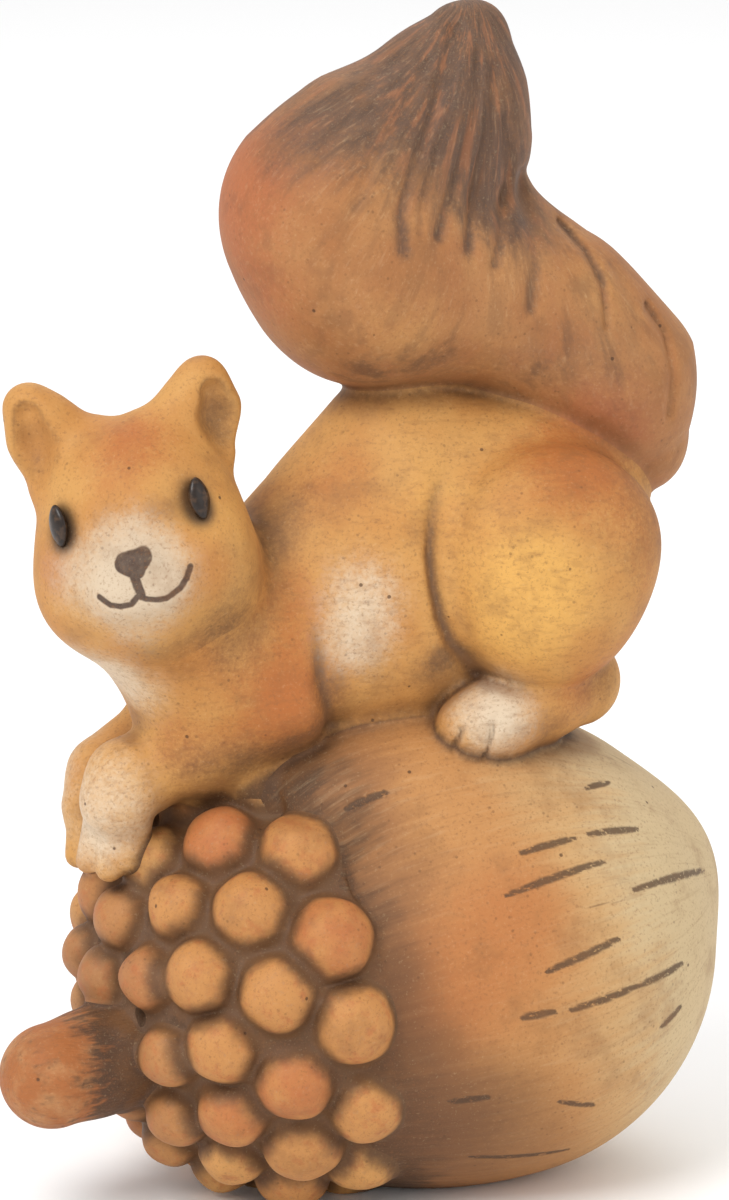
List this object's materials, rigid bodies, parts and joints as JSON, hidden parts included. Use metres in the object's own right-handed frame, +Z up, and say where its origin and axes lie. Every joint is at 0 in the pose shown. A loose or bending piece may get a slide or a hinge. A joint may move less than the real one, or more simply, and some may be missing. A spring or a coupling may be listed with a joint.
{
  "type": "squirrel figurine",
  "caption": "Hollow ceramic figurine of a squirrel crouching on a lying acorn with a knobbly cap, painted in autumn colours, with a flat foot to stand on.",
  "frame": {"origin": "on the flat foot under the acorn nut, 12 mm from the nut's widest section towards the cap", "axes": "+Z up, +X along the lying acorn from its cap towards the tip of the nut, +Y towards the squirrel's right side"},
  "size_m": [0.1282, 0.0808, 0.1998],
  "materials": {
    "nut_paint": "matte paint, tan darkening to brown beside the cap",
    "cap_paint": "matte grey-brown wash between the knobs",
    "knob_paint": "matte ochre and orange paint",
    "stem_paint": "matte orange-brown paint",
    "fur_paint": "matte ochre paint with orange blushes",
    "face_paint": "matte ochre paint with a cream muzzle",
    "tail_paint": "matte orange-brown paint, grey-brown at the tip",
    "eye_gloss": "glossy dark brown"
  },
  "bodies": {
    "root": {"acorn_nut": "nut_paint", "acorn_cap": "cap_paint", "acorn_stem": "stem_paint", "cap_knobs_ring_1": "knob_paint", "cap_knobs_ring_2": "knob_paint", "cap_knobs_ring_3": "knob_paint", "cap_knobs_ring_4": "knob_paint", "cap_knobs_ring_5": "knob_paint", "squirrel_body": "fur_paint", "squirrel_head": "face_paint", "eye_left": "eye_gloss", "eye_right": "eye_gloss", "ear_left": "face_paint", "ear_right": "face_paint", "foreleg_left": "fur_paint", "foreleg_right": "fur_paint", "forepaw_left": "fur_paint", "forepaw_right": "fur_paint", "haunch_left": "fur_paint", "haunch_right": "fur_paint", "hind_foot_left": "fur_paint", "hind_foot_right": "fur_paint", "tail_plume": "tail_paint", "tail_root": "tail_paint"}
  },
  "joints": []
}
